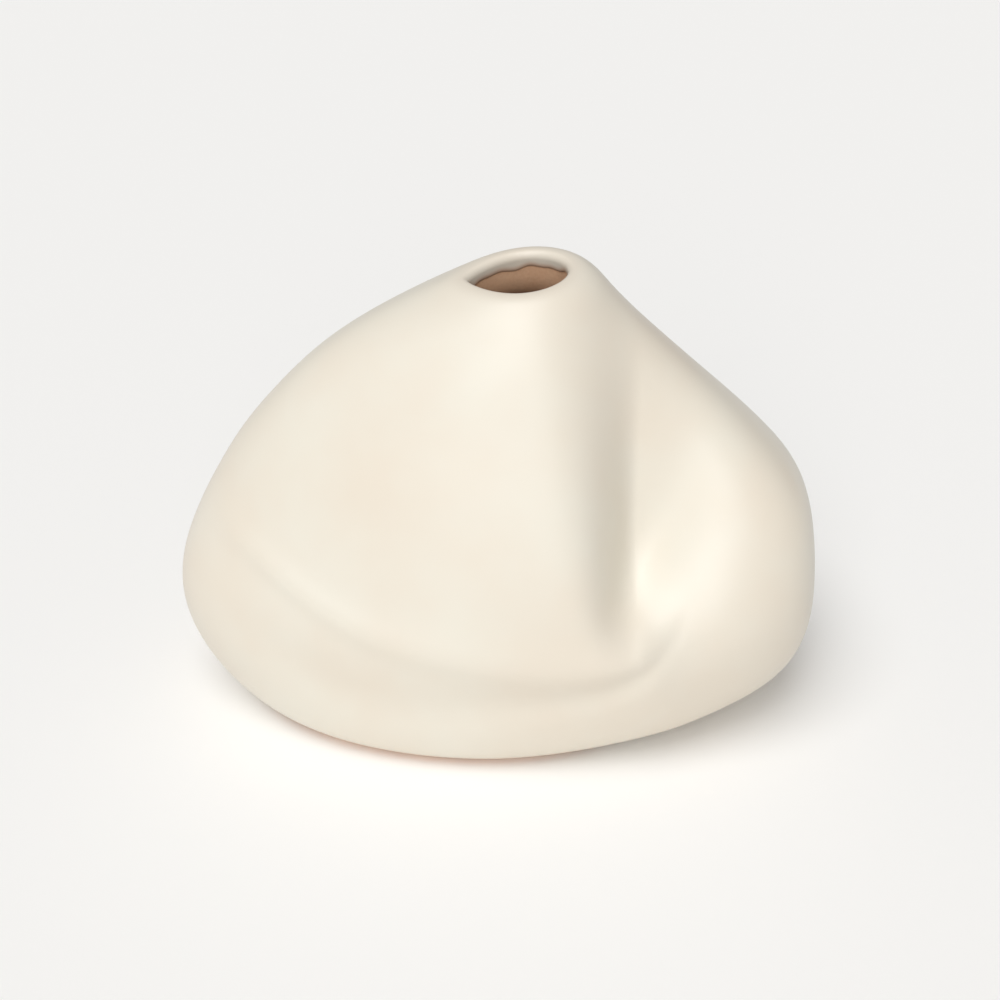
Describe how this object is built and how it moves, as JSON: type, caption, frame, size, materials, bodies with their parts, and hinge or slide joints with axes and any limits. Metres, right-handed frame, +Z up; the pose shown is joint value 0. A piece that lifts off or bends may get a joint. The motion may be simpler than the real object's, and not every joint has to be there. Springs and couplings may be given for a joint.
{
  "type": "pillow vase",
  "caption": "Wide, soft-looking ceramic vase, pinched like a pillow: one deep fold down its front, a soft hem under the belly and a narrow oval mouth for a few stems.",
  "frame": {"origin": "middle of the vase's box at the table, under the foot", "axes": "+X to the viewer's right along the long side, -Y to the front with the fold, +Z up"},
  "size_m": [0.2584, 0.1456, 0.1863],
  "materials": {
    "fired_clay": "bare tan stoneware, matt and slightly gritty",
    "satin_glaze": "warm cream satin glaze, soft broad highlights"
  },
  "bodies": {
    "root": {"clay_body": "fired_clay", "glaze_coat": "satin_glaze"}
  },
  "joints": []
}
